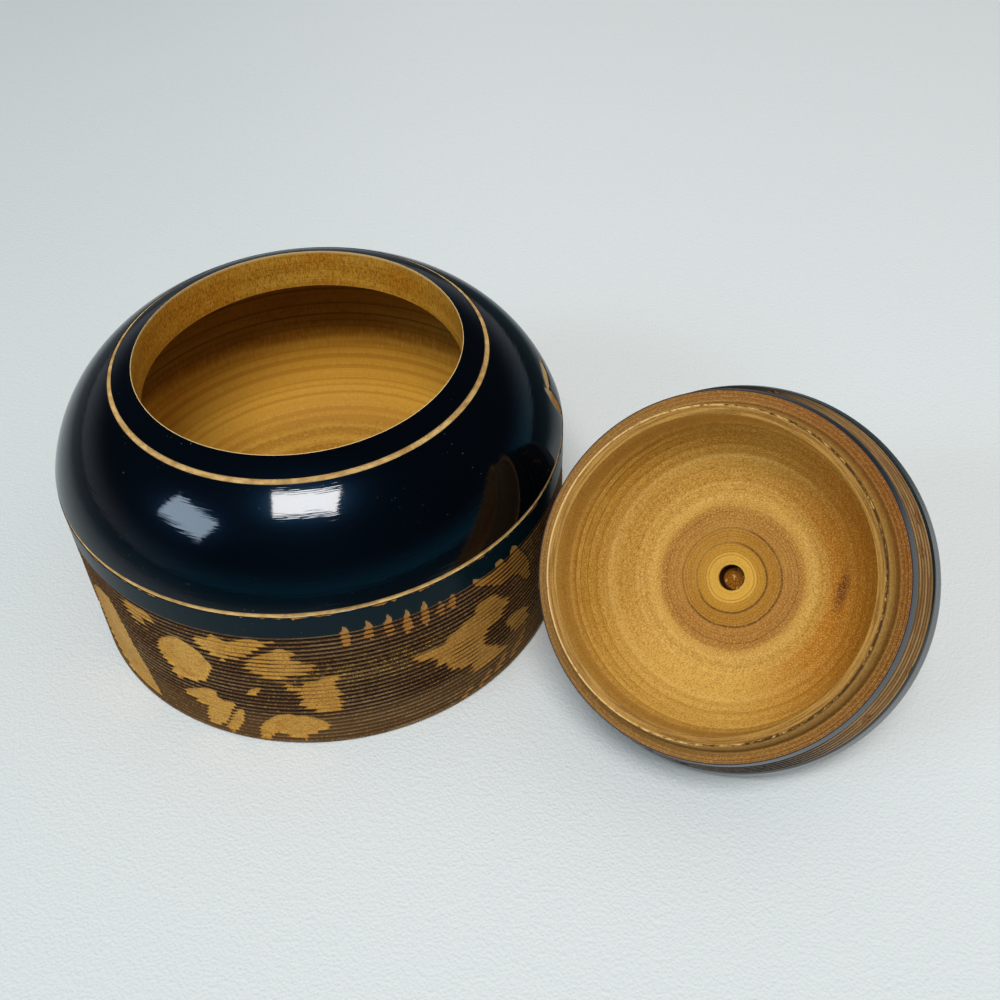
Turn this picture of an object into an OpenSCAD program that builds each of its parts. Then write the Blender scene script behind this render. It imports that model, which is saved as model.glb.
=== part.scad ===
// Turned and lacquered wooden trinket box: a closed-in pot, a hollow domed lid and its ball knob.
// Millimetres. Z is up, the pot stands on z = 0 and its axis is the Z axis.
// The lid lies off, turned over, propped on its own rim and knob and leaning at the pot's side.

/* [Pot] */
// Radius of the straight lower wall
body_r = 50; // [46:0.5:56]
// Height of the straight lower wall, up to the ring where the shoulder starts
wall_h = 38.2; // [34:0.2:44]
// Radius of the shoulder's rounding, seen in section
shoulder_r = 30.5; // [28.5:0.5:34]
// Lean of the shoulder from upright where it leaves the wall, in degrees
shoulder_lean = 17; // [13:1:22]
// Thickness of the wood under the shoulder
shoulder_t = 6; // [5:0.25:8]
// Thickness of the bottom
floor_t = 5; // [4:0.5:8]
// Radius of the round corner between the hollow's side and its bottom
hollow_corner_r = 21; // [15:0.5:22]
// Bevel on the bottom edge
base_bevel = 0.5; // [0.2:0.1:1.5]

/* [Mouth] */
// Radius of the mouth
mouth_r = 31; // [29:0.25:33]
// Height of the straight wall inside the mouth
mouth_wall = 8.4; // [7:0.2:10]

/* [Incised rings] */
// Radius of the round-nosed tool that cuts the rings
ring_tool_r = 0.55; // [0.4:0.05:0.9]
// Depth of the rings
ring_depth = 0.4; // [0.2:0.05:0.4]
// Distance of the upper ring from the mouth's edge, measured along the radius
ring_from_mouth = 4.5; // [3:0.25:8]

/* [Lid] */
// Clearance on the radius between the spigot's foot and the mouth
spigot_clear = 0.75; // [0.3:0.05:1]
// Amount by which the spigot narrows towards its lip, on the radius
spigot_draft = 1.45; // [0.5:0.05:2]
// Height of the spigot's lip above the flange's outer edge
spigot_h = 6; // [4:0.2:6.6]
// Width of the lip
lip_w = 1.6; // [1.2:0.1:2]
// Drop of the lip towards the hollow
lip_drop = 0.6; // [0.2:0.1:1]
// Reach of the flange beyond the mouth, on the radius
flange_reach = 1.4; // [1:0.1:2.5]
// Widest radius of the lid
lid_r = 36.3; // [35.5:0.1:39]
// Distance from the flange's outer edge to the lid's widest ring
lid_side_h = 17.4; // [14:0.2:20]
// Radius of the rounding at the widest ring
lid_round_r = 5; // [3.5:0.25:6]
// Depth by which the lid's straight side cuts into that rounding
side_bite = 0.03; // [0.02:0.01:0.1]
// Slope of the dome where it leaves that rounding, in degrees
dome_slope = 20; // [16:1:24]
// Corner left between the rounding and the dome, in degrees
dome_arris = 2; // [1:0.5:4]
// Depth of the lid's hollow below the flange's outer edge
lid_hollow = 15.3; // [11:0.2:17]
// Radius of the round corner inside the lid's hollow
lid_corner_r = 14; // [9:0.5:15]

/* [Knob] */
// Radius of the ball
ball_r = 8; // [6.5:0.25:9]
// Distance from the knob's seat to the middle of the ball
ball_h = 15; // [14:0.2:18]
// Radius of the collar that stands on the lid
collar_r = 6.5; // [5.5:0.25:7]
// Width of the flat seat that shows round the collar
seat_rim = 0.5; // [0.3:0.1:1]
// Radius of the waist between the collar and the ball
waist_r = 4; // [3.3:0.1:4.6]
// Radius of the hollow curve at the waist
cove_r = 3.5; // [3:0.1:4.2]
// Depth by which that curve cuts into the ball
cove_bite = 0.05; // [0.03:0.01:0.2]
// Radius of the hole in the lid for the tenon
tenon_hole_r = 2.4; // [1.8:0.1:3]
// Glue line round the tenon
glue_line = 0.05; // [0.02:0.01:0.1]
// Length of the tenon
tenon_l = 8.4; // [5:0.2:8.8]

/* [Lying beside the pot] */
// Gap between the lid and the pot's side
lean_gap = 0.9; // [0.3:0.1:5]
// Direction from the pot's axis to the place where the lid leans at it, in degrees
lean_dir = -21.7; // [-60:0.1:20]
// Direction that the lid's hollow side faces, seen from above, in degrees
face_dir = -121.5; // [-150:0.5:-90]

/* [Hidden] */
$fn = 128;
// Length by which a cut runs past the face that it leaves
over = 1;

// Middle of the shoulder's rounding, seen in section
shoulder_x = body_r - shoulder_r * cos(shoulder_lean);
shoulder_z = wall_h - shoulder_r * sin(shoulder_lean);
// Height of the shoulder's surface at radius r
function shoulder_top(r) = shoulder_z + sqrt(pow(shoulder_r, 2) - pow(r - shoulder_x, 2));
pot_h = shoulder_top(mouth_r);
// The hollow follows the shoulder at an even distance
hollow_round_r = shoulder_r - shoulder_t;
hollow_r = shoulder_x + hollow_round_r;
mouth_foot_z = pot_h - mouth_wall;
// Distance of the ring tool's middle outside the surface that it cuts
ring_out = ring_tool_r - ring_depth;
ring_r = mouth_r + ring_from_mouth;
ring_dir = acos((ring_r - shoulder_x) / shoulder_r);

// Lid, in its own frame: flange edge at height 0, spigot up, dome down
flange_r = mouth_r + flange_reach;
foot_r = mouth_r - spigot_clear;
lip_out_r = foot_r - spigot_draft;
lip_in_r = lip_out_r - lip_w;
// The flange has the slope of the shoulder that it sits on
flange_slope = (shoulder_top(mouth_r) - shoulder_top(flange_r)) / flange_reach;
foot_h = -flange_slope * (flange_r - foot_r);
// The side is a cone from the flange's edge that runs nearly smoothly into the rounding
round_x = lid_r - lid_round_r;
side_reach = norm([round_x - flange_r, lid_side_h]);
side_flare = asin((lid_round_r - side_bite) / side_reach) - atan((flange_r - round_x) / lid_side_h);
// The dome is part of a ball that starts where the rounding is steeper by the corner
dome_edge_r = round_x + lid_round_r * sin(dome_slope + dome_arris);
dome_edge_h = lid_side_h + lid_round_r * cos(dome_slope + dome_arris);
dome_r = dome_edge_r / sin(dome_slope);
dome_mid_h = dome_edge_h - dome_r * cos(dome_slope);
// A flat is faced off on top of the dome as the knob's seat, a little wider than the collar
seat_r = collar_r + seat_rim;
seat_h = dome_mid_h + sqrt(pow(dome_r, 2) - pow(seat_r, 2));

// Knob, measured down the lid's axis: the cove runs nearly smoothly into the ball
ball_mid_h = seat_h + ball_h;
cove_x = waist_r + cove_r;
cove_reach = ball_r + cove_r - cove_bite;
cove_h = ball_mid_h - sqrt(pow(cove_reach, 2) - pow(cove_x, 2));
collar_h = cove_h - sqrt(pow(cove_r, 2) - pow(cove_x - collar_r, 2));
// Middle of the narrow lens in which the cove and the ball overlap
lens_share = (ball_r - cove_bite / 2) / cove_reach;
lens_x = cove_x * lens_share;
lens_h = ball_mid_h - (ball_mid_h - cove_h) * lens_share;

// Lying lid: its rounding and the ball of its knob both touch the ground
prop_h = ball_mid_h - lid_side_h;
tilt = atan(prop_h / round_x) + asin((ball_r - lid_round_r) / norm([round_x, prop_h]));
ring_mid_z = round_x * sin(tilt) + lid_round_r;
// Its rounding stands lean_gap away from the pot's side, in the direction lean_dir
turn = face_dir - lean_dir;
lean_cos = sin(tilt) * cos(turn);
lean_sin = sqrt(1 - pow(lean_cos, 2));
lean_out = body_r + lean_gap + lid_round_r + round_x * lean_sin;
lean_side = -round_x * lean_cos * sin(tilt) * sin(turn) / lean_sin;

// Section of the pot's outside
module pot_outline() {
    polygon([
        [0, 0],
        [body_r - base_bevel, 0],
        [body_r, base_bevel],
        [body_r, wall_h],
        [shoulder_x, wall_h],
        [shoulder_x, shoulder_z + shoulder_r],
        [0, shoulder_z + shoulder_r]
    ]);
    intersection() {
        translate([shoulder_x, shoulder_z])
            circle(shoulder_r);
        translate([shoulder_x, wall_h])
            square([body_r - shoulder_x, shoulder_r]);
    }
}

// Section of the hollow, round under the shoulder and round at the bottom
module hollow_outline() {
    corner_x = hollow_r - hollow_corner_r;
    corner_z = floor_t + hollow_corner_r;
    polygon([
        [0, floor_t],
        [corner_x, floor_t],
        [corner_x, corner_z],
        [hollow_r, corner_z],
        [hollow_r, shoulder_z],
        [shoulder_x, shoulder_z],
        [shoulder_x, mouth_foot_z],
        [0, mouth_foot_z]
    ]);
    intersection() {
        translate([corner_x, corner_z])
            circle(hollow_corner_r);
        translate([corner_x, floor_t])
            square(hollow_corner_r);
    }
    intersection() {
        translate([shoulder_x, shoulder_z])
            circle(hollow_round_r);
        translate([shoulder_x, shoulder_z])
            square([hollow_round_r, mouth_foot_z - shoulder_z]);
    }
}

module pot() {
    color("#101b2c")
        rotate_extrude()
            difference() {
                pot_outline();
                hollow_outline();
                translate([0, mouth_foot_z - over])
                    square([mouth_r, shoulder_r]);
                translate([
                    shoulder_x + (shoulder_r + ring_out) * cos(ring_dir),
                    shoulder_z + (shoulder_r + ring_out) * sin(ring_dir)
                ])
                    circle(ring_tool_r);
                translate([body_r + ring_out, wall_h])
                    circle(ring_tool_r);
            }
}

// Section of the lid's outside, from the lip down to the knob's seat
module lid_outline() {
    side_end_r = round_x + lid_round_r * cos(side_flare);
    side_end_h = lid_side_h - lid_round_r * sin(side_flare);
    blank_r = flange_r + seat_h * tan(side_flare);
    waste_x = round_x + lid_round_r * sin(dome_slope);
    waste_h = lid_side_h + lid_round_r * cos(dome_slope);
    difference() {
        polygon([
            [0, spigot_h - lip_drop],
            [lip_in_r, spigot_h - lip_drop],
            [lip_out_r, spigot_h],
            [foot_r, foot_h],
            [flange_r, 0],
            [blank_r, -seat_h],
            [0, -seat_h]
        ]);
        // Waste outside the rounding
        difference() {
            polygon([
                [round_x, -lid_side_h],
                [side_end_r, -side_end_h],
                [blank_r + over, -side_end_h],
                [blank_r + over, -seat_h - over],
                [waste_x, -seat_h - over],
                [waste_x, -waste_h]
            ]);
            translate([round_x, -lid_side_h])
                circle(lid_round_r);
        }
        // Waste under the dome
        difference() {
            translate([0, -seat_h - over])
                square([blank_r + over, seat_h + over - lid_side_h]);
            translate([0, -dome_mid_h])
                circle(dome_r);
        }
    }
}

// Section of the lid's hollow
module lid_hollow_outline() {
    corner_x = lip_in_r - lid_corner_r;
    corner_h = lid_corner_r - lid_hollow;
    polygon([
        [0, -lid_hollow],
        [corner_x, -lid_hollow],
        [corner_x, corner_h],
        [lip_in_r, corner_h],
        [lip_in_r, spigot_h + over],
        [0, spigot_h + over]
    ]);
    intersection() {
        translate([corner_x, corner_h])
            circle(lid_corner_r);
        translate([0, -lid_hollow])
            square([lip_in_r, lid_corner_r]);
    }
}

// Puts a piece that was drawn in the lid's frame where the lid lies
module lying() {
    rotate([0, 0, lean_dir])
        translate([lean_out, lean_side, ring_mid_z])
            rotate([0, 0, turn])
                rotate([0, tilt, 0])
                    translate([0, 0, lid_side_h])
                        children();
}

module lid() {
    color("#b9822f")
        lying()
            rotate_extrude()
                difference() {
                    lid_outline();
                    lid_hollow_outline();
                    translate([0, -seat_h - over])
                        square([tenon_hole_r, seat_h + 2 * over]);
                }
}

// Section of the knob: tenon, collar, cove and ball
module knob_outline() {
    tenon_r = tenon_hole_r - glue_line;
    end_h = ball_mid_h + ball_r + over;
    difference() {
        polygon([
            [0, tenon_l - seat_h],
            [tenon_r, tenon_l - seat_h],
            [tenon_r, -seat_h],
            [collar_r, -seat_h],
            [collar_r, -collar_h],
            [lens_x, -lens_h],
            [ball_r, -lens_h],
            [ball_r, -end_h],
            [0, -end_h]
        ]);
        translate([cove_x, -cove_h])
            circle(cove_r);
        // Waste outside the ball
        difference() {
            translate([0, -end_h])
                square([ball_r + over, end_h - lens_h]);
            translate([0, -ball_mid_h])
                circle(ball_r);
        }
    }
}

module knob() {
    color("#16233a")
        lying()
            rotate_extrude()
                knob_outline();
}

pot();
lid();
knob();
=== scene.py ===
from math import asin, atan, atan2, cos, hypot, pi, radians, sin, sqrt, tan

import bpy
import numpy as np
from mathutils import Matrix, Vector


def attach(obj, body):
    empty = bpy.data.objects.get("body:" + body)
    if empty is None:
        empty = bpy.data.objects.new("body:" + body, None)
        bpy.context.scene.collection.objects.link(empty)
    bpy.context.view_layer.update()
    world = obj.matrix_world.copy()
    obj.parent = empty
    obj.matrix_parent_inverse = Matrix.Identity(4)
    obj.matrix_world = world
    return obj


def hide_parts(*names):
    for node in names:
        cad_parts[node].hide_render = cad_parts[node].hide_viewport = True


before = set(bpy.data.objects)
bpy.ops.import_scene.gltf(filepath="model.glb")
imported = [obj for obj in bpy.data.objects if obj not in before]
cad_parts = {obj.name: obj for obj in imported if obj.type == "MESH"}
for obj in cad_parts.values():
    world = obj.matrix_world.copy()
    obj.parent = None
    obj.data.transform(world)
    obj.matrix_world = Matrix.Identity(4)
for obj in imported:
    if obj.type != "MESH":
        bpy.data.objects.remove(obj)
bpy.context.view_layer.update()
MM = 0.001

# Sizes in millimetres, the same as the part's own
BODY_R, WALL_H = 50.0, 38.2
SHOULDER_R, SHOULDER_LEAN, SHOULDER_T = 30.5, radians(17), 6.0
FLOOR_T, HOLLOW_CORNER_R, BASE_BEVEL = 5.0, 21.0, 0.5
MOUTH_R, MOUTH_WALL = 31.0, 8.4
RING_TOOL_R, RING_DEPTH, RING_FROM_MOUTH = 0.55, 0.4, 4.5
SPIGOT_CLEAR, SPIGOT_DRAFT, SPIGOT_H = 0.75, 1.45, 6.0
LIP_W, LIP_DROP, FLANGE_REACH = 1.6, 0.6, 1.4
LID_R, LID_SIDE_H, LID_ROUND_R, SIDE_BITE = 36.3, 17.4, 5.0, 0.03
DOME_SLOPE, DOME_ARRIS = radians(20), radians(2)
LID_HOLLOW, LID_CORNER_R = 15.3, 14.0
BALL_R, BALL_H, COLLAR_R, SEAT_RIM = 8.0, 15.0, 6.5, 0.5
WAIST_R, COVE_R, COVE_BITE = 4.0, 3.5, 0.05
TENON_HOLE_R, GLUE_LINE, TENON_L = 2.4, 0.05, 8.4
LEAN_GAP, LEAN_DIR, FACE_DIR = 0.9, radians(-21.7), radians(-121.5)

# Combed bands: bottom, top, groove spacing and depth
POT_COMB = (0.9, 31.95, 1.15, 0.30)
LID_COMB = (-13.4, -2.9, 1.75, 0.40)
NO_COMB = (0.0, -1.0, 1.0, 0.0)
ROWS_PER_GROOVE = 4
# Times that the ornament comes round, and where on the pot, in degrees
REPEATS = 3
POT_TURNS = (0.0, 123.5, 242.0)
# Sides of the lid as it lies, and of each repeat of the pot's ornament: the low side gets painted light,
# the grey side a painted reflection of the floor, the side away from the front painted shade, and DARK_AT
# marks painted shade on the cuts
WARM_SIDE, LOW_SIDE, GREY_SIDE, FRONT_SIDE = radians(103), radians(13), radians(10), radians(75)
GILT_AT, DARK_AT = radians(77), radians(122)
# Dark red stain in the lid's hollow
STAIN_AT = (-5.1, 19.4, -13.5)
# Depth of the polishing marks in the clear coat
POLISH_MARKS = 0.022
# Keeps the finely divided lid within the box of the more coarsely divided solid
LID_INSET = 0.9995

# Points that follow from the sizes
SHOULDER_X = BODY_R - SHOULDER_R * cos(SHOULDER_LEAN)
SHOULDER_Z = WALL_H - SHOULDER_R * sin(SHOULDER_LEAN)
POT_H = SHOULDER_Z + sqrt(SHOULDER_R ** 2 - (MOUTH_R - SHOULDER_X) ** 2)
HOLLOW_ROUND_R = SHOULDER_R - SHOULDER_T
HOLLOW_R = SHOULDER_X + HOLLOW_ROUND_R
MOUTH_FOOT = POT_H - MOUTH_WALL
RING_OUT = RING_TOOL_R - RING_DEPTH
RING_FOOT = WALL_H - sqrt(RING_TOOL_R ** 2 - RING_OUT ** 2)
FLANGE_R = MOUTH_R + FLANGE_REACH
FOOT_R = MOUTH_R - SPIGOT_CLEAR
LIP_OUT_R = FOOT_R - SPIGOT_DRAFT
LIP_IN_R = LIP_OUT_R - LIP_W
ROUND_X = LID_R - LID_ROUND_R
DOME_EDGE_R = ROUND_X + LID_ROUND_R * sin(DOME_SLOPE + DOME_ARRIS)
DOME_EDGE_H = LID_SIDE_H + LID_ROUND_R * cos(DOME_SLOPE + DOME_ARRIS)
DOME_R = DOME_EDGE_R / sin(DOME_SLOPE)
DOME_MID_H = DOME_EDGE_H - DOME_R * cos(DOME_SLOPE)
SEAT_R = COLLAR_R + SEAT_RIM
SEAT_H = DOME_MID_H + sqrt(DOME_R ** 2 - SEAT_R ** 2)
BALL_MID_H = SEAT_H + BALL_H


def shoulder_top(r):
    return SHOULDER_Z + sqrt(SHOULDER_R ** 2 - (r - SHOULDER_X) ** 2)


def lying_matrix():
    """Place of the turned-over lid beside the pot, from its own frame to the shared one."""
    prop = BALL_MID_H - LID_SIDE_H
    tilt = atan(prop / ROUND_X) + asin((BALL_R - LID_ROUND_R) / hypot(ROUND_X, prop))
    turn = FACE_DIR - LEAN_DIR
    lean_cos = sin(tilt) * cos(turn)
    lean_sin = sqrt(1 - lean_cos ** 2)
    out = BODY_R + LEAN_GAP + LID_ROUND_R + ROUND_X * lean_sin
    side = -ROUND_X * lean_cos * sin(tilt) * sin(turn) / lean_sin
    return (Matrix.Rotation(LEAN_DIR, 4, "Z")
            @ Matrix.Translation((out, side, ROUND_X * sin(tilt) + LID_ROUND_R))
            @ Matrix.Rotation(turn, 4, "Z") @ Matrix.Rotation(tilt, 4, "Y")
            @ Matrix.Translation((0, 0, LID_SIDE_H)))


# Materials: a small writer for node trees
class Tree:
    def __init__(self, node_tree):
        self.tree = node_tree

    def node(self, kind, inputs=None, **settings):
        n = self.tree.nodes.new(kind)
        for key, value in settings.items():
            setattr(n, key, value)
        for key, value in (inputs or {}).items():
            self.feed(n.inputs[key], value)
        return n

    def feed(self, socket, value):
        if isinstance(value, bpy.types.NodeSocket):
            self.tree.links.new(value, socket)
        else:
            socket.default_value = value

    def math(self, op, a, b=0.0, c=0.5, clamp=False):
        return self.node("ShaderNodeMath", {0: a, 1: b, 2: c}, operation=op, use_clamp=clamp).outputs[0]

    def add(self, a, b):
        return self.math("ADD", a, b)

    def sub(self, a, b):
        return self.math("SUBTRACT", a, b)

    def mul(self, a, b, clamp=False):
        return self.math("MULTIPLY", a, b, clamp=clamp)

    def all_of(self, first, *others):
        """Product of several shares."""
        for other in others:
            first = self.mul(first, other)
        return first

    def span(self, x, low, high, to_low=0.0, to_high=1.0, smooth=True):
        """Carries x from one range to another and holds it at both ends."""
        return self.node("ShaderNodeMapRange", {
            "Value": x, "From Min": low, "From Max": high, "To Min": to_low, "To Max": to_high},
            interpolation_type="SMOOTHSTEP" if smooth else "LINEAR").outputs[0]

    def ramp(self, x, at_0, at_1):
        return self.span(x, 0.0, 1.0, at_0, at_1, smooth=False)

    def bump_at(self, x, mid, half):
        """1 at mid, falling to 0 at half on both sides."""
        off = self.math("ABSOLUTE", self.sub(x, mid))
        return self.span(off, 0.0, half, 1.0, 0.0)

    def mix(self, f, a, b):
        return self.node("ShaderNodeMix", {0: f, 6: a, 7: b}, data_type="RGBA").outputs[2]

    def over(self, under, tone, *shares):
        """Lays one tone over another by the product of the shares; a triple is a screen colour."""
        under, tone = (srgb(*c) if isinstance(c, tuple) and len(c) == 3 else c for c in (under, tone))
        return self.mix(self.all_of(*shares), under, tone)

    def noise(self, at, scale, detail=2.0, rough=0.5):
        return self.node("ShaderNodeTexNoise", {"Vector": at, "Scale": scale, "Detail": detail,
                                                "Roughness": rough}).outputs[0]

    def line_noise(self, w, scale, detail=2.0, rough=0.5):
        return self.node("ShaderNodeTexNoise", {"W": w, "Scale": scale, "Detail": detail,
                                                "Roughness": rough}, noise_dimensions="1D").outputs[0]

    def cells(self, at, scale, feature="F1"):
        return self.node("ShaderNodeTexVoronoi", {"Vector": at, "Scale": scale},
                         feature=feature).outputs["Distance"]

    def vector(self, op, *parts, out=0):
        return self.node("ShaderNodeVectorMath", dict(enumerate(parts)), operation=op).outputs[out]

    def stretch(self, at, x, y, z):
        return self.vector("MULTIPLY", at, (x, y, z))

    def attribute(self, name, vector=False):
        n = self.node("ShaderNodeAttribute", attribute_name=name)
        return n.outputs["Vector" if vector else "Fac"]

    def split(self, vector):
        return self.node("ShaderNodeSeparateXYZ", {0: vector}).outputs

    def join(self, x, y, z):
        return self.node("ShaderNodeCombineXYZ", {0: x, 1: y, 2: z}).outputs[0]


def srgb(r, g, b):
    """A colour as read off a screen, made linear."""
    lin = [(v / 255 / 12.92) if v <= 10.3 else ((v / 255 + 0.055) / 1.055) ** 2.4 for v in (r, g, b)]
    return (*lin, 1.0)


class Finish(Tree):
    """One material of the turned pieces: it reads where a point sat on the lathe, in millimetres."""

    def __init__(self, name):
        self.material = bpy.data.materials.new(name)
        self.material.use_nodes = True
        super().__init__(self.material.node_tree)
        self.shader = self.tree.nodes["Principled BSDF"]
        self.at = self.attribute("lathe", vector=True)
        x, y, self.h = self.split(self.at)
        self.r = self.math("SQRT", self.add(self.mul(x, x), self.mul(y, y)))
        self.turn = self.math("ARCTAN2", y, x)

    def turned_noise(self, along, across, detail=2.0, rough=0.6):
        """Noise drawn out round the axis, without a seam."""
        return self.node("ShaderNodeTexNoise", {
            "Vector": self.stretch(self.at, along, along, across), "W": self.mul(self.r, across),
            "Scale": 1.0, "Detail": detail, "Roughness": rough}, noise_dimensions="4D").outputs[0]

    def grain(self, x, y, z, detail, rough=0.5):
        """Noise with its own fineness along each direction of the lathe."""
        return self.noise(self.stretch(self.at, x, y, z), 1.0, detail, rough)

    def unsteady(self, noise, amount):
        """Noise brought to both sides of nought."""
        return self.mul(self.sub(noise, 0.5), amount)

    def facing(self, angle):
        """1 on the side at an angle, -1 on the far side."""
        return self.math("COSINE", self.sub(self.turn, angle))

    def bump(self, height, reach):
        return self.node("ShaderNodeBump", {"Height": height, "Distance": reach * MM,
                                            "Strength": 1.0}).outputs[0]

    def lay_on(self, tone, *shares):
        """Lays a tone over the finish's colour so far."""
        self.colour = self.over(self.colour, tone, *shares)

    def done(self, rough, height, reach, **rest):
        """Joins everything to the shader; the rest are more of its inputs by name."""
        self.feed(self.shader.inputs["Base Color"], self.colour)
        self.feed(self.shader.inputs["Roughness"], rough)
        self.feed(self.shader.inputs["Normal"], self.bump(height, reach))
        for key, value in rest.items():
            self.feed(self.shader.inputs[key.replace("_", " ")], value)
        return self.material


def bare_wood_tones(t, light, deep):
    """Golden close-grained wood: soft growth rings round the axis, fibres along it, fine flecks."""
    sway = t.grain(0.04, 0.04, 0.03, 1.0)
    ring_at = t.add(t.add(t.r, t.mul(t.h, 0.55)), t.mul(sway, 4.0))
    rings = t.line_noise(ring_at, 0.42, 1.0, 0.5)
    fibres = t.grain(1.7, 1.7, 0.45, 2.0, 0.6)
    t.colour = t.over(deep, light, t.span(rings, 0.25, 0.75))
    t.lay_on((212, 172, 92), t.span(fibres, 0.5, 0.72, 0.0, 0.4))
    t.lay_on((136, 88, 22), t.span(fibres, 0.46, 0.3, 0.0, 0.4))
    return fibres


def pot_wood():
    t = Finish("pot_bare_wood")
    fibres = bare_wood_tones(t, (198, 150, 56), (172, 122, 36))
    # Painted light on the inner wall below the mouth's shadow, and painted shade under the mouth with
    # dark tool rings in it
    inside = t.span(t.r, MOUTH_R + 0.3, MOUTH_R + 3.0)
    painted_light_lower_wall = t.all_of(t.span(t.h, 26.0, 21.5), t.span(t.h, 6.0, 13.0), inside, 0.6)
    t.lay_on((226, 172, 62), painted_light_lower_wall)
    # Painted shade: the inner wall darkened towards the top, under the mouth
    under = t.mul(t.span(t.h, 24.5, 30.5), inside)
    t.lay_on((66, 36, 4), under, 0.62)
    # Dark tool rings, drawn only within the painted shade
    tool_ring = t.span(t.line_noise(t.h, 0.6, 1.0, 0.5), 0.50, 0.68, 0.0, 0.5)
    t.lay_on((48, 25, 3), tool_ring, under)
    soft_ring = t.line_noise(t.add(t.h, t.mul(fibres, 0.5)), 0.75, 1.0)
    soft_ring = t.mul(t.span(soft_ring, 0.48, 0.62, 0.0, 0.5), t.span(t.h, 26.0, 22.0))
    t.lay_on((178, 120, 34), soft_ring, inside)
    rim = t.mul(t.span(t.h, MOUTH_FOOT - 0.2, MOUTH_FOOT + 0.4),
                t.span(t.r, MOUTH_R + 0.3, MOUTH_R + 0.1))
    orange = t.grain(0.09, 0.09, 0.09, 1.0)
    t.lay_on((170, 104, 8), rim, t.span(orange, 0.35, 0.7, 0.2, 0.7))
    end_grain = t.grain(3.5, 3.5, 1.2, 2.0, 0.7)
    t.lay_on((206, 156, 52), rim, t.span(end_grain, 0.5, 0.62, 0.0, 0.5))
    t.lay_on((118, 72, 10), rim, t.span(end_grain, 0.48, 0.36, 0.0, 0.55))
    # Pale worn wood along the mouth's top edge, widened as a painted highlight along it
    edge = t.mul(t.span(t.h, POT_H - 0.7, POT_H - 0.1), 0.75)
    t.lay_on((222, 196, 142), edge)
    tool = t.line_noise(t.add(t.h, t.r), 2.2, 1.0)
    height = t.add(fibres, t.mul(tool, 0.7))
    rough = t.span(fibres, 0.3, 0.8, 0.52, 0.68)
    return t.done(rough, height, 0.09, Specular_IOR_Level=0.12)


def ring_wood():
    t = Finish("ring_cut_wood")
    grain = t.grain(0.5, 0.5, 2.0, 3.0, 0.6)
    dark = t.noise(t.at, 0.3, 2.0, 0.6)
    t.colour = t.over((166, 130, 76), (206, 174, 116), t.span(grain, 0.3, 0.7))
    t.lay_on((128, 94, 54), t.span(dark, 0.5, 0.75, 0.0, 0.6))
    return t.done(t.span(grain, 0.3, 0.7, 0.55, 0.7), grain, 0.06, Specular_IOR_Level=0.12)


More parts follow.
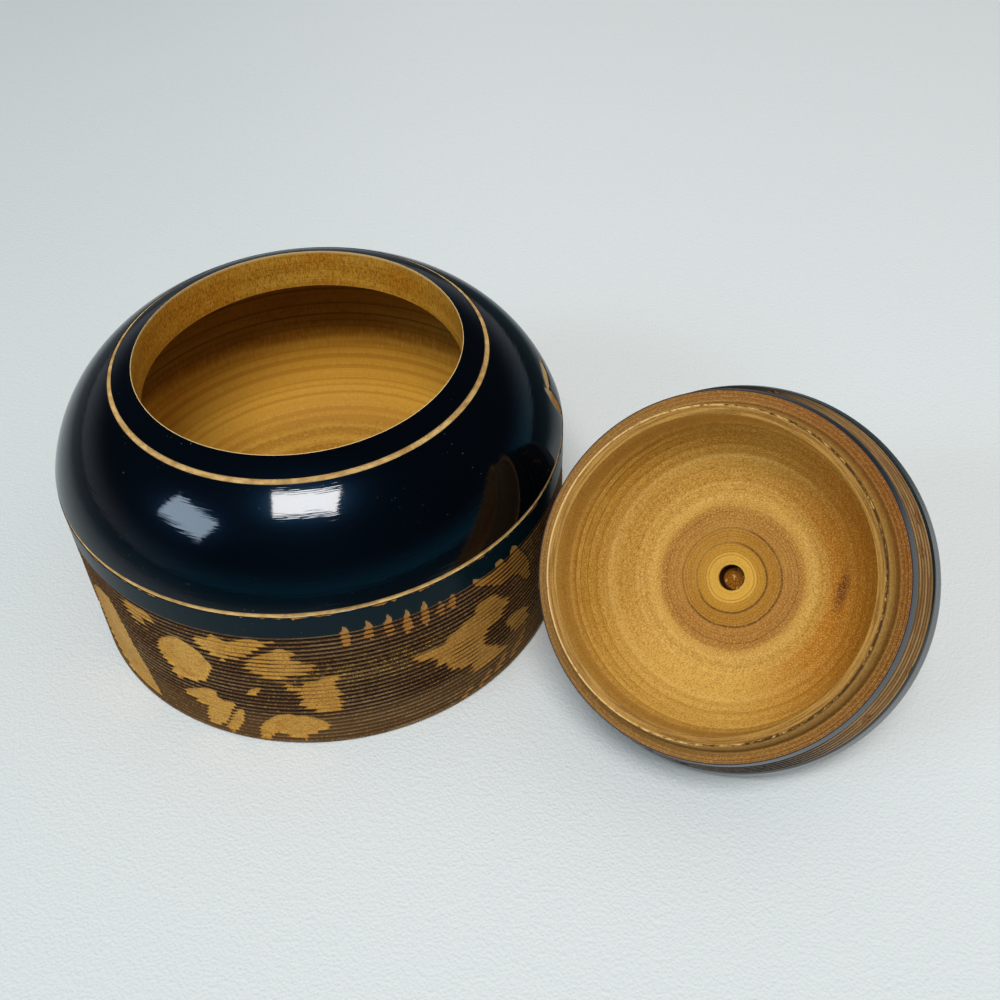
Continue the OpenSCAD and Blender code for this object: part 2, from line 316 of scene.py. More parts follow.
def lid_wood():
    t = Finish("lid_bare_wood")
    fibres = bare_wood_tones(t, (196, 152, 68), (180, 132, 50))
    ripple = t.grain(0.12, 0.12, 0.12, 1.0)
    r = t.add(t.r, t.unsteady(ripple, 0.9))
    warm_side = t.facing(WARM_SIDE)
    low_side = t.facing(LOW_SIDE)
    in_hollow = t.span(t.r, LIP_IN_R - 0.6, LIP_IN_R - 0.2, 1.0, 0.0)
    part = t.add(t.grain(0.08, 0.08, 0.08, 2.0), t.mul(low_side, 0.12))
    soft_part = t.mul(in_hollow, t.span(part, 0.25, 0.55, 0.6, 1.0))
    line_part = t.mul(in_hollow, t.span(part, 0.38, 0.58, 0.4, 1.0))
    # Fine lines, then turned rings: radius from and to, softness, colour, strength and where
    fine = t.line_noise(t.r, 1.5, 2.0, 0.6)
    t.lay_on((146, 98, 30), t.span(fine, 0.52, 0.7, 0.0, 0.3))
    t.lay_on((212, 170, 92), t.span(fine, 0.46, 0.3, 0.0, 0.3))
    for low, high, soft, tone, amount, where in (
            (23.6, 27.0, 0.8, (168, 118, 26), 0.5, soft_part),
            # Painted highlight: a pale ring where the hollow's floor curves up into its wall
            (21.6, 22.8, 0.5, (208, 168, 92), 0.45, soft_part),
            (13.9, 15.6, 0.5, (206, 164, 82), 0.7, soft_part),
            (9.2, 13.3, 0.5, (158, 104, 40), 0.8, soft_part),
            (11.95, 12.2, 0.12, (104, 62, 22), 0.6, line_part),
            (8.9, 9.35, 0.16, (96, 54, 12), 1.0, line_part),
            (6.7, 8.9, 0.3, (158, 106, 20), 0.85, soft_part),
            (4.9, 6.4, 0.3, (180, 130, 30), 0.85, soft_part),
            (6.3, 6.75, 0.16, (104, 64, 8), 1.0, line_part),
            (-1.0, 4.8, 0.4, (212, 164, 62), 0.9, soft_part)):
        ring = t.all_of(t.span(r, low - soft, low + soft), t.span(r, high - soft, high + soft, 1.0, 0.0),
                        amount, where)
        t.lay_on(tone, ring)
    thin = t.mul(t.line_noise(r, 3.2, 2.0, 0.6), t.span(t.r, 13.6, 13.0))
    t.lay_on((122, 76, 18), t.span(thin, 0.52, 0.64, 0.0, 0.55))
    # Painted light: the outer hollow paler on the lid's low side, which faces the light
    painted_light_low_side = t.mul(t.span(low_side, 0.2, 1.0, 0.0, 0.55), t.span(t.r, 15.0, 19.0))
    t.lay_on((222, 178, 88), painted_light_low_side, in_hollow)
    # Warmer on one side, with a dark red stain
    warm = t.mul(t.span(warm_side, 0.1, 1.0, 0.0, 0.85), in_hollow)
    t.lay_on((176, 108, 14), warm, t.span(t.r, 15.5, 19.0))
    near = t.stretch(t.vector("SUBTRACT", t.at, STAIN_AT), 0.26, 0.85, 0.6)
    blot = t.add(t.vector("LENGTH", near, out="Value"), t.mul(t.noise(t.at, 0.9, 2.0), 1.2))
    t.lay_on((104, 40, 14), t.span(blot, 0.7, 2.2, 0.9, 0.0))
    # Brown flange and spigot, polished by use
    outside = t.span(t.r, LIP_OUT_R - 0.2, FOOT_R + 0.1)
    band = t.line_noise(t.add(t.r, t.mul(t.h, 0.7)), 2.5, 2.0, 0.6)
    flange = t.over((86, 52, 22), (152, 102, 46), t.span(band, 0.4, 0.6))
    flange = t.over(flange, (172, 122, 56), t.span(fibres, 0.42, 0.72, 0.0, 0.25))
    flange = t.over(flange, (166, 126, 66), t.span(warm_side, -0.4, 0.9, 0.4, 0.0))
    red = t.sub(t.mul(warm_side, 0.6), t.mul(low_side, 0.8))
    flange = t.over(flange, (152, 86, 34), t.span(red, 0.2, 1.0, 0.0, 0.3))
    t.lay_on(flange, outside)
    lip = t.mul(t.span(t.r, LIP_IN_R - 0.2, LIP_IN_R + 0.1),
                t.span(t.h, SPIGOT_H - LIP_DROP - 0.5, SPIGOT_H - LIP_DROP - 0.1))
    along = t.turned_noise(0.12, 3.2)
    t.lay_on(t.over((118, 78, 30), (172, 128, 62), t.span(along, 0.35, 0.65)), lip, 0.9)
    spigot = t.mul(t.span(t.r, FOOT_R + 0.25, FOOT_R + 0.05), outside)
    t.lay_on((92, 58, 20), spigot, 0.4)
    foot = t.bump_at(t.r, FOOT_R + 0.3, 0.35)
    t.lay_on((190, 144, 76), foot, 0.35)
    # Flecks of torn end grain, fewer on the polished flange
    bits = t.grain(5.0, 2.9, 3.8, 2.0, 0.7)
    strong = t.all_of(t.span(outside, 0.0, 1.0, 0.52, 0.25), t.span(lip, 0.0, 1.0, 1.0, 0.25),
                      t.span(t.r, 6.0, 15.0, 0.4, 1.0))
    t.lay_on((224, 186, 106), t.span(bits, 0.5, 0.64), strong)
    t.lay_on((126, 80, 16), t.span(bits, 0.49, 0.36), strong)
    # Torn fibres along the lip's outer edge, mostly on one side, and a painted highlight along its arris
    # on the other
    lip_edge = t.mul(t.bump_at(t.r, LIP_OUT_R - 0.1, 0.5), t.span(t.h, 4.4, 5.2))
    torn = t.add(t.turned_noise(0.9, 2.2, 3.0, 0.65), t.mul(warm_side, 0.16))
    tear = t.mul(lip_edge, t.span(torn, 0.56, 0.66))
    t.lay_on((54, 30, 10), tear, 0.9)
    painted_arris_highlight = t.mul(t.bump_at(t.r, LIP_OUT_R - 0.1, 0.3), t.span(t.h, 5.0, 5.6))
    t.lay_on((226, 190, 126), painted_arris_highlight, t.span(torn, 0.4, 0.56, 0.85, 0.0))
    rim = t.span(t.r, FLANGE_R - 0.3, FLANGE_R - 0.12)
    t.lay_on((28, 32, 52), rim, 0.9)
    # Hole: wall darkened as painted shade, and the knob's tenon at its end with a few pale splinters
    in_hole = t.mul(t.span(t.h, -LID_HOLLOW - 0.15, -LID_HOLLOW - 0.9),
                    t.span(t.r, TENON_HOLE_R + 0.4, TENON_HOLE_R + 0.1))
    end = t.over((116, 62, 2), (168, 102, 10), t.span(bits, 0.4, 0.6))
    end = t.over(end, (214, 164, 88), t.span(t.noise(t.at, 0.9, 2.0, 0.7), 0.58, 0.66))
    # Painted shade on the hole's wall and round the tenon's edge
    end = t.over(end, (58, 30, 4), t.span(t.r, TENON_HOLE_R - 0.6, TENON_HOLE_R - 0.15))
    t.lay_on(end, in_hole)
    height = t.add(bits, t.mul(fine, 0.4))
    height = t.sub(height, t.mul(tear, 2.0))
    rough = t.span(fibres, 0.3, 0.8, 0.5, 0.66)
    return t.done(rough, height, 0.1, Specular_IOR_Level=0.12)


def lacquered():
    """Navy lacquer, worn combed bands and cuts down to the wood, chosen by the pieces' own attributes."""
    t = Finish("navy_lacquer")
    bare_depth, comb, groove, dull, brown, worn = (
        t.attribute(name) for name in ("bare", "comb", "groove", "dull", "brown", "worn"))
    grit = t.noise(t.at, 1.9, 2.0, 0.7)
    speck = t.noise(t.at, 3.4, 2.0, 0.7)
    # Lacquer with a little dust in it, grey along the lid's edges: partly rubbed wear, partly a painted
    # reflection of the floor
    cloud = t.grain(0.03, 0.03, 0.03, 1.0)
    coat = t.over((1, 3, 6), (2, 6, 12), t.span(cloud, 0.3, 0.7))
    coat = t.over(coat, (7, 26, 32), dull)
    dust_size = t.noise(t.at, 0.13, 1.0)
    dust_size = t.span(dust_size, 0.38, 0.72, 0.0, 0.07, smooth=False)
    dust = t.math("LESS_THAN", t.cells(t.at, 0.95), dust_size)
    coat = t.over(coat, (190, 196, 200), dust, 0.35)
    rubbed_and_reflection = t.over((92, 92, 88), (118, 116, 110), t.span(grit, 0.35, 0.65))
    coat = t.mix(t.mul(worn, 0.12), coat, rubbed_and_reflection)
    # Combed band: pale worn ridges over dark dyed grooves, smoother near the bottom
    third = t.mul(t.turn, float(REPEATS))
    streak = t.turned_noise(0.10, 0.9, 3.0)
    patch = t.grain(0.06, 0.06, 0.09, 1.0)
    ridge = t.over((86, 58, 32), (116, 92, 62), t.span(patch, 0.35, 0.65))
    ridge = t.over(ridge, (60, 38, 20), t.span(streak, 0.38, 0.7, 0.0, 0.7))
    ridge = t.over(ridge, (156, 124, 76), t.span(speck, 0.5, 0.66, 0.0, 0.7))
    gilt_side = t.span(t.math("COSINE", t.add(third, GILT_AT * REPEATS)), 0.2, 0.9)
    gilt_part = t.span(t.noise(t.at, 0.55, 2.0, 0.7), 0.40, 0.58)
    gilt = t.all_of(gilt_side, t.bump_at(t.h, 21.0, 6.5), t.span(speck, 0.48, 0.58), gilt_part)
    ridge = t.over(ridge, (182, 146, 52), gilt, 0.75)
    valley = t.over((26, 14, 9), (54, 33, 20), t.span(grit, 0.4, 0.7))
    valley = t.over(valley, (124, 92, 30), gilt, 0.45)
    # The lid's band is rubbed brown on one side; below, its ridges are grey as a painted reflection of
    # the floor over black grooves, and at the back it is darkened as painted shade
    painted_floor_sheen = t.span(t.facing(GREY_SIDE), 0.55, 0.95)
    painted_shade_back = t.span(t.facing(FRONT_SIDE), 0.15, -0.5)
    lid_ridge = t.over((162, 128, 82), (124, 92, 54), t.span(streak, 0.4, 0.62))
    lid_ridge = t.over(lid_ridge, (138, 128, 116), painted_floor_sheen)
    lid_ridge = t.over(lid_ridge, (48, 40, 34), painted_shade_back)
    lid_valley = t.over((96, 68, 38), (24, 14, 10), t.math("MAXIMUM", painted_floor_sheen, painted_shade_back))
    ridge, valley = t.mix(brown, ridge, lid_ridge), t.mix(brown, valley, lid_valley)
    smoother = t.all_of(t.span(t.h, 6.0, 11.0, 0.7, 0.0), t.sub(1.0, brown), t.span(t.h, 0.0, 0.5))
    valley = t.over(valley, (90, 64, 36), smoother)
    crumble = t.ramp(brown, 0.9, 0.3)
    depth = t.add(groove, t.unsteady(grit, crumble))
    depth = t.add(depth, t.all_of(painted_floor_sheen, brown, 0.3))
    combed = t.mix(t.span(depth, 0.2, 0.6), ridge, valley)
    comb_edge = t.add(comb, t.unsteady(streak, 0.6))
    comb_on = t.span(comb_edge, 0.42, 0.58)
    t.colour = t.mix(comb_on, coat, combed)
    # Cuts down to the wood, with painted shade darkening them towards one end of each repeat
    cut = t.over((188, 138, 54), (198, 150, 68), t.span(patch, 0.35, 0.65))
    painted_shade_cuts = t.span(t.math("COSINE", t.add(third, DARK_AT * REPEATS)), 0.7, -0.6, 0.0, 0.6)
    cut = t.over(cut, (160, 108, 34), painted_shade_cuts)
    blotch = t.grain(0.4, 0.4, 0.65, 2.0, 0.6)
    cut = t.over(cut, (158, 104, 38), t.span(blotch, 0.48, 0.68, 0.0, 0.6))
    cut = t.over(cut, (214, 174, 98), t.span(speck, 0.5, 0.64, 0.0, 0.5))
    cut = t.over(cut, (126, 80, 20), t.span(speck, 0.49, 0.36, 0.0, 0.6))
    cut = t.over(cut, (162, 104, 54), t.attribute("shallow"), 0.5)
    cut = t.over(cut, (122, 76, 30), t.span(bare_depth, 0.16, 0.02, 0.0, 0.6))
    cut = t.over(cut, (140, 92, 50), brown, 0.85)
    tip = t.all_of(t.sub(1.0, comb_on), t.span(t.h, 36.2, 35.6), 0.4)
    cut = t.over(cut, (158, 130, 86), tip)
    sprig = t.over((156, 104, 52), (180, 158, 120), t.span(t.h, 42.5, 44.5))
    cut = t.mix(t.span(t.h, WALL_H, WALL_H + 0.5, 0.0, 0.6), cut, sprig)
    ragged = t.add(bare_depth, t.unsteady(grit, 0.06))
    bare = t.span(ragged, 0.0, 0.03)
    t.lay_on(cut, bare)
    # Clear coat over a soft blue bloom; worn and cut places have neither
    matt = t.math("MAXIMUM", bare, comb_on)
    gloss = t.sub(1.0, matt)
    rough = t.add(t.mul(gloss, 0.26), t.mul(matt, t.span(grit, 0.3, 0.7, 0.45, 0.65)))
    clear = t.all_of(gloss, t.ramp(dull, 1.0, 0.18), t.sub(1.0, t.mul(dust, 0.8)))
    tint = t.mix(gloss, (1.0, 1.0, 1.0, 1.0), (0.12, 0.45, 1.0, 1.0))
    bloom = t.mul(gloss, t.ramp(dull, 0.1, 0.04))
    bloom = t.add(bloom, t.mul(matt, 0.08))
    marks = t.turned_noise(0.12, 2.2)
    return t.done(rough, t.all_of(grit, matt, 0.8), 0.12, Specular_IOR_Level=bloom,
                  Specular_Tint=tint, Coat_Weight=clear, Coat_Roughness=0.05, Coat_IOR=1.5,
                  Coat_Normal=t.bump(marks, POLISH_MARKS))


MATERIALS = [lacquered(), pot_wood(), lid_wood(), ring_wood()]
FINISHES = ("Lacquer", "Pot wood", "Lid wood", "Ring wood")
LACQUER, POT_WOOD, LID_WOOD, RING_WOOD = range(len(FINISHES))
# Distance in metres within which the seam and the poles are joined
MERGE = 1e-7
# How often a groove's depth changes round it, and how far apart two grooves lie in that noise
GROOVE_SWAY, GROOVE_SHIFT = 1.6, 7.31


# Turned pieces: a profile swung round the axis, with combed grooves cut into a band of it
def turned_tree():
    tree = bpy.data.node_groups.new("turned_piece", "GeometryNodeTree")
    t = Tree(tree)
    face = tree.interface
    face.new_socket("Profile", in_out="INPUT", socket_type="NodeSocketGeometry")
    for name, kind in (("Steps", "Int"), ("Groove low", "Float"), ("Groove high", "Float"),
                       ("Groove pitch", "Float"), ("Groove depth", "Float"),
                       ("Unevenness", "Float"), ("Seed", "Int"), *((f, "Material") for f in FINISHES)):
        face.new_socket(name, in_out="INPUT", socket_type="NodeSocket" + kind)
    face.new_socket("Piece", in_out="OUTPUT", socket_type="NodeSocketGeometry")
    given = t.node("NodeGroupInput").outputs
    profile = given["Profile"]
    size = t.node("GeometryNodeAttributeDomainSize", {0: profile}, component="MESH")
    rows = size.outputs["Point Count"]
    grid = t.node("GeometryNodeMeshGrid",
                  {"Size X": 1.0, "Size Y": 1.0, "Vertices X": t.add(given["Steps"], 1.0),
                   "Vertices Y": rows}).outputs[0]
    index = t.node("GeometryNodeInputIndex").outputs[0]

    def sample(field, at, kind):
        return t.node("GeometryNodeSampleIndex", {"Geometry": profile, "Value": field, "Index": at},
                      data_type=kind, domain="POINT").outputs[0]

    row = t.math("MODULO", index, rows)
    column = t.math("FLOOR", t.math("DIVIDE", index, rows))
    angle = t.math("DIVIDE", t.mul(column, 2 * pi), given["Steps"])
    point = t.split(sample(t.node("GeometryNodeInputPosition").outputs[0], row, "FLOAT_VECTOR"))
    radius, height = point[0], point[2]
    cos_a, sin_a = t.math("COSINE", angle), t.math("SINE", angle)
    phase = t.math("DIVIDE", t.sub(height, given["Groove low"]), given["Groove pitch"])
    wave = t.math("MULTIPLY_ADD", t.math("COSINE", t.mul(phase, 2 * pi)), -0.5, 0.5)
    in_band = t.mul(t.math("GREATER_THAN", height, given["Groove low"]),
                    t.math("LESS_THAN", height, given["Groove high"]))
    number = t.math("FLOOR", phase)
    where = t.join(t.mul(cos_a, GROOVE_SWAY), t.mul(sin_a, GROOVE_SWAY),
                   t.math("MULTIPLY_ADD", number, GROOVE_SHIFT, given["Seed"]))
    uneven = t.sub(t.noise(where, 1.0, 1.0), 0.5)
    amount = t.math("MULTIPLY_ADD", t.mul(uneven, 2.0), given["Unevenness"], 1.0)
    amount = t.mul(t.mul(amount, wave), in_band, clamp=True)
    cut_r = t.sub(radius, t.mul(amount, given["Groove depth"]))
    place = t.join(t.mul(cut_r, cos_a), t.mul(cut_r, sin_a), height)
    strip = t.math("MODULO", index, t.sub(rows, 1.0))

    def finish(name):
        return t.node("GeometryNodeInputNamedAttribute", {"Name": name}, data_type="INT").outputs[0]

    def store(shape, name, kind, domain, value):
        given = {"Geometry": shape, "Name": name, "Value": value}
        return t.node("GeometryNodeStoreNamedAttribute", given, data_type=kind, domain=domain).outputs[0]

    shape = store(grid, "strip_finish", "INT", "FACE", sample(finish("finish"), strip, "INT"))
    shape = store(shape, "groove", "FLOAT", "POINT", amount)
    for kind, more in (("SetPosition", {"Position": place}), ("MergeByDistance", {"Distance": MERGE}),
                       ("SetShadeSmooth", {"Shade Smooth": True}), ("RealizeInstances", {})):
        shape = t.node("GeometryNode" + kind, {"Geometry": shape, **more}).outputs[0]
    kept = finish("strip_finish")
    for number, name in enumerate(FINISHES):
        chosen = t.node("FunctionNodeCompare", {2: kept, 3: number}, data_type="INT", operation="EQUAL")
        shape = t.node("GeometryNodeSetMaterial", {"Geometry": shape, "Selection": chosen.outputs[0],
                                                   "Material": given[name]}).outputs[0]
    t.node("NodeGroupOutput", {0: shape})
    return tree


TURNED = turned_tree()


def turned(name, profile, steps, comb=NO_COMB, unevenness=0.0, seed=0):
    """A turned piece from profile points (radius, height, finish of the strip after it), in mm."""
    mesh = bpy.data.meshes.new(name + "_profile")
    mesh.from_pydata([(r * MM, 0, h * MM) for r, h, _ in profile], [], [])
    tag = mesh.attributes.new("finish", "INT", "POINT")
    tag.data.foreach_set("value", [f for _, _, f in profile])
    piece = bpy.data.objects.new(name, mesh)
    bpy.context.scene.collection.objects.link(piece)
    lathe = piece.modifiers.new("lathe", "NODES")
    lathe.node_group = TURNED
    low, high, pitch, depth = comb
    given = {"Steps": steps, "Groove low": low * MM, "Groove high": high * MM,
             "Groove pitch": pitch * MM, "Groove depth": depth * MM,
             "Unevenness": unevenness, "Seed": seed}
    given.update(zip(FINISHES, MATERIALS))
    for socket in TURNED.interface.items_tree:
        if socket.name in given:
            lathe[socket.identifier] = given[socket.name]
    bpy.context.view_layer.update()
    made = bpy.data.meshes.new_from_object(piece.evaluated_get(bpy.context.evaluated_depsgraph_get()))
    piece.modifiers.clear()
    piece.data = made
    made.name = name
    at = coords(made)
    store = made.attributes.new("lathe", "FLOAT_VECTOR", "POINT")
    store.data.foreach_set("vector", (at / MM).ravel())
    return piece


def coords(mesh):
    at = np.empty(len(mesh.vertices) * 3)
    mesh.vertices.foreach_get("co", at)
    return at.reshape(-1, 3)


def set_coords(mesh, at):
    mesh.vertices.foreach_set("co", np.ascontiguousarray(at).ravel())
    mesh.update()


def set_number(mesh, name, values):
    store = mesh.attributes.get(name) or mesh.attributes.new(name, "FLOAT", "POINT")
    store.data.foreach_set("value", np.asarray(values, dtype=np.float32))


def get_number(mesh, name):
    values = np.empty(len(mesh.vertices), dtype=np.float32)
    mesh.attributes[name].data.foreach_get("value", values)
    return values


# Profiles: points as radius, height and the finish of the strip that follows, in mm
ONE_STEP = 99.0
WORN_EDGE = 0.12
# How far the shell and the wall go in behind their common edge: inwards and down
SHELL_TUCK, WALL_TUCK = (0.4, 0.4), (0.35, 0.05)


def direction(mid, point):
    return atan2(point[1] - mid[1], point[0] - mid[0])


def polar(mid, radius, angle):
    return mid[0] + radius * cos(angle), mid[1] + radius * sin(angle)


def meet(mid_a, r_a, mid_b, r_b):
    """The two points where two circles cross."""
    d = hypot(mid_b[0] - mid_a[0], mid_b[1] - mid_a[1])
    along = (r_a ** 2 - r_b ** 2 + d * d) / (2 * d)
    off = sqrt(r_a ** 2 - along ** 2)
    (x, y), (u, v) = polar((0, 0), 1.0, direction(mid_a, mid_b)), mid_a
    return ((u + along * x - off * y, v + along * y + off * x),
            (u + along * x + off * y, v + along * y - off * x))


def outline(start, *parts):
    """A profile of parts, each with its end, step and finish, and an arc also with its middle.

    An arc that a round-nosed tool cuts has a fifth value, the share at each edge that stays coated.
    """
    points = []
    for end, step, finish, *arc in parts:
        if arc:
            mid, first = arc[0], direction(arc[0], start)
            radius = hypot(start[0] - mid[0], start[1] - mid[1])
            turn = (direction(mid, end) - first + pi) % (2 * pi) - pi
            n = max(2, round(abs(turn) * radius / step))
            strip = [polar(mid, radius, first + turn * i / n) for i in range(n)]
        else:
            across, up = end[0] - start[0], end[1] - start[1]
            n = max(1, round(hypot(across, up) / step))
            strip = [(start[0] + across * i / n, start[1] + up * i / n) for i in range(n)]
        strip[0] = start
        coated = int(n * arc[1]) if len(arc) > 1 else 0
        points += [(r, h, finish if coated <= i < n - coated else LACQUER)
                   for i, (r, h) in enumerate(strip)]
        start = end
    return points + [(*start, finish)]


def comb_span(comb):
    """Bottom, top and step of the rows of a combed band, with a fixed number for each groove."""
    low, high, pitch, _ = comb
    step = pitch / ROWS_PER_GROOVE
    return low, low + int((high - low) / step) * step, step


def shell_profile():
    """Lower ring, shoulder, upper ring, mouth and hollow."""
    mid = (SHOULDER_X, SHOULDER_Z)
    low_tool = (BODY_R + RING_OUT, WALL_H)
    low_end = max(meet(mid, SHOULDER_R, low_tool, RING_TOOL_R), key=lambda p: p[1])
    ring_r = MOUTH_R + RING_FROM_MOUTH
    top_tool = polar(mid, SHOULDER_R + RING_OUT, direction(mid, (ring_r, shoulder_top(ring_r))))
    top_end, top_start = sorted(meet(mid, SHOULDER_R, top_tool, RING_TOOL_R))
    edge = (MOUTH_R, POT_H)
    worn = polar(mid, SHOULDER_R, direction(mid, edge) - WORN_EDGE / SHOULDER_R)
    roof_r = SHOULDER_X + sqrt(HOLLOW_ROUND_R ** 2 - (MOUTH_FOOT - SHOULDER_Z) ** 2)
    corner = (HOLLOW_R - HOLLOW_CORNER_R, FLOOR_T + HOLLOW_CORNER_R)
    return outline(
        (BODY_R - SHELL_TUCK[0], RING_FOOT - SHELL_TUCK[1]),
        ((BODY_R, RING_FOOT), ONE_STEP, LACQUER),
        (low_end, 0.14, RING_WOOD, low_tool, 0.12),
        (top_start, 0.55, LACQUER, mid),
        (top_end, 0.14, RING_WOOD, top_tool, 0.14),
        (worn, 0.8, LACQUER, mid),
        (edge, 0.06, POT_WOOD, mid),
        ((MOUTH_R, MOUTH_FOOT), 0.9, POT_WOOD),
        ((roof_r, MOUTH_FOOT), 1.2, POT_WOOD),
        ((HOLLOW_R, SHOULDER_Z), 1.2, POT_WOOD, mid),
        ((HOLLOW_R, corner[1]), 1.2, POT_WOOD),
        ((corner[0], FLOOR_T), 1.2, POT_WOOD, corner),
        ((0.0, FLOOR_T), 2.5, POT_WOOD))


def wall_profile():
    """Straight wall from the lower ring to the bottom, and the bottom."""
    low, top, step = comb_span(POT_COMB)
    return outline(
        (BODY_R - WALL_TUCK[0], RING_FOOT - WALL_TUCK[1]),
        ((BODY_R, RING_FOOT), ONE_STEP, LACQUER),
        ((BODY_R, top), 0.36, LACQUER),
        ((BODY_R, low), step, LACQUER),
        ((BODY_R, BASE_BEVEL), ONE_STEP, LACQUER),
        ((BODY_R - BASE_BEVEL, 0.0), ONE_STEP, LACQUER),
        ((0.0, 0.0), 8.0, POT_WOOD))


def lid_profile():
    """From the knob's seat over the dome, rounding, side, flange, spigot and lip into the hollow."""
    chord = LID_ROUND_R - SIDE_BITE
    half = sqrt(LID_ROUND_R ** 2 - chord ** 2)
    flare = (asin(chord / hypot(ROUND_X - FLANGE_R, LID_SIDE_H))
             - atan((FLANGE_R - ROUND_X) / LID_SIDE_H))
    side_end = (ROUND_X + chord * cos(flare) + half * sin(flare),
                -LID_SIDE_H + chord * sin(flare) - half * cos(flare))

    def side(h):
        return FLANGE_R - h * tan(flare), h

    low, top, step = comb_span(LID_COMB)
    slope = (shoulder_top(MOUTH_R) - shoulder_top(FLANGE_R)) / FLANGE_REACH
    corner = (LIP_IN_R - LID_CORNER_R, LID_CORNER_R - LID_HOLLOW)
    points = outline(
        (TENON_HOLE_R, -SEAT_H),
        ((COLLAR_R - 1.0, -SEAT_H), ONE_STEP, LACQUER),
        ((SEAT_R, -SEAT_H), 0.8, LACQUER),
        ((DOME_EDGE_R, -DOME_EDGE_H), 1.4, LACQUER, (0.0, -DOME_MID_H)),
        (side_end, 0.5, LACQUER, (ROUND_X, -LID_SIDE_H)),
        (side(low), 0.6, LACQUER),
        (side(top), step / cos(flare), LACQUER),
        (side(top + 0.3), ONE_STEP, LACQUER),
        ((FLANGE_R, 0.0), 0.5, LACQUER),
        ((FOOT_R, -slope * (FLANGE_R - FOOT_R)), 0.35, LID_WOOD),
        ((LIP_OUT_R, SPIGOT_H), 0.6, LID_WOOD),
        ((LIP_IN_R, SPIGOT_H - LIP_DROP), 0.3, LID_WOOD),
        ((LIP_IN_R, corner[1]), 0.7, LID_WOOD),
        ((corner[0], -LID_HOLLOW), 0.7, LID_WOOD, corner),
        ((TENON_HOLE_R, -LID_HOLLOW), 0.7, LID_WOOD),
        ((TENON_HOLE_R, -SEAT_H), 1.0, LID_WOOD))
    return [(r * LID_INSET, h, finish) for r, h, finish in points]


def knob_profile():
    """Ball, cove, collar and tenon."""
    tenon_r, tenon_end = TENON_HOLE_R - GLUE_LINE, TENON_L - SEAT_H
    cove_x = WAIST_R + COVE_R
    cove_h = BALL_MID_H - sqrt((BALL_R + COVE_R - COVE_BITE) ** 2 - cove_x ** 2)
    collar_h = cove_h - sqrt(COVE_R ** 2 - (cove_x - COLLAR_R) ** 2)
    ball, cove = (0.0, -BALL_MID_H), (cove_x, -cove_h)
    return outline(
        (0.0, -BALL_MID_H - BALL_R),
        (max(meet(ball, BALL_R, cove, COVE_R)), 0.5, LACQUER, ball),
        ((COLLAR_R, -collar_h), 0.4, LACQUER, cove),
        ((COLLAR_R, -SEAT_H), 0.7, LACQUER),
        ((tenon_r, -SEAT_H), 1.0, LACQUER),
        ((tenon_r, tenon_end), 1.0, LID_WOOD),
        ((0.0, tenon_end), 0.4, LID_WOOD))


# Ornament on the pot's wall, cut with a gouge: corners as (angle in degrees, height in mm)
EYE = [
    (-103.4, 13.9), (-102.6, 15.3), (-101.8, 16.4), (-100.3, 17.2), (-99.0, 17.3), (-99.2, 16.4),
    (-100.3, 15.1), (-101.6, 14.1)]
LEFT_PETAL = [
    (-123.4, 20.2), (-122.9, 22.5), (-121.7, 24.2), (-120.0, 25.6), (-118.0, 26.8), (-116.3, 27.0),
    (-114.6, 26.6), (-112.6, 25.6), (-111.0, 24.4), (-110.0, 22.6), (-109.3, 20.9), (-109.9, 19.3),
    (-110.9, 17.8), (-111.6, 16.3), (-112.6, 15.6), (-115.0, 14.6), (-117.5, 14.0), (-119.3, 13.6),
    (-121.0, 14.0), (-121.2, 15.4), (-120.4, 16.4), (-121.7, 17.3), (-122.9, 18.5)]
TOP_PETAL = [
    (-112.1, 29.1), (-110.7, 29.8), (-108.6, 30.0), (-108.2, 31.5), (-106.9, 32.1), (-106.5, 31.2),
    (-104.4, 30.7), (-104.2, 30.2), (-102.3, 30.8), (-101.0, 31.5), (-99.5, 31.9), (-97.1, 31.7),
    (-97.0, 31.2), (-96.0, 31.4), (-94.1, 31.9), (-93.8, 31.2), (-94.8, 30.0), (-96.1, 29.2),
    (-97.7, 28.2), (-99.2, 27.1), (-100.5, 25.9), (-101.7, 24.8), (-104.4, 24.8), (-104.9, 24.4),
    (-105.1, 23.1), (-106.0, 23.0), (-107.3, 24.1), (-109.9, 24.6), (-109.6, 25.3), (-111.1, 26.4),
    (-111.8, 27.8)]
UPPER_PETAL = [
    (-99.0, 26.6), (-97.1, 27.6), (-95.1, 28.6), (-93.8, 29.5), (-91.2, 29.6), (-91.4, 28.8),
    (-89.9, 28.4), (-90.1, 27.5), (-90.5, 26.6), (-90.6, 26.1), (-87.8, 26.0), (-87.6, 25.5),
    (-88.6, 25.1), (-85.7, 24.8), (-86.0, 23.8), (-86.5, 23.0), (-87.3, 22.1), (-89.2, 21.3),
    (-90.1, 20.6), (-92.2, 20.4), (-94.8, 19.9), (-97.7, 20.1), (-99.0, 20.5), (-101.0, 21.5),
    (-102.6, 22.2), (-101.8, 23.2), (-102.1, 24.1), (-101.3, 24.9), (-100.3, 25.6)]
RIGHT_PETAL = [
    (-94.8, 19.1), (-94.3, 19.6), (-92.3, 19.2), (-92.1, 18.3), (-91.2, 18.2), (-89.6, 19.6),
    (-87.0, 19.8), (-86.5, 20.6), (-84.1, 21.0), (-81.4, 20.6), (-81.1, 19.5), (-82.7, 18.5),
    (-82.3, 17.8), (-82.7, 17.0), (-82.0, 16.2), (-81.6, 14.7), (-81.6, 14.1), (-82.5, 13.7),
    (-82.0, 12.4), (-82.7, 12.0), (-82.9, 11.0), (-82.5, 10.2), (-82.7, 9.6), (-84.7, 9.0), (-87.5, 9.0),
    (-88.8, 9.9), (-90.1, 10.7), (-91.7, 11.6), (-92.2, 12.8), (-91.4, 13.9), (-92.3, 14.8),
    (-91.2, 15.6), (-93.5, 16.0), (-94.1, 18.0)]
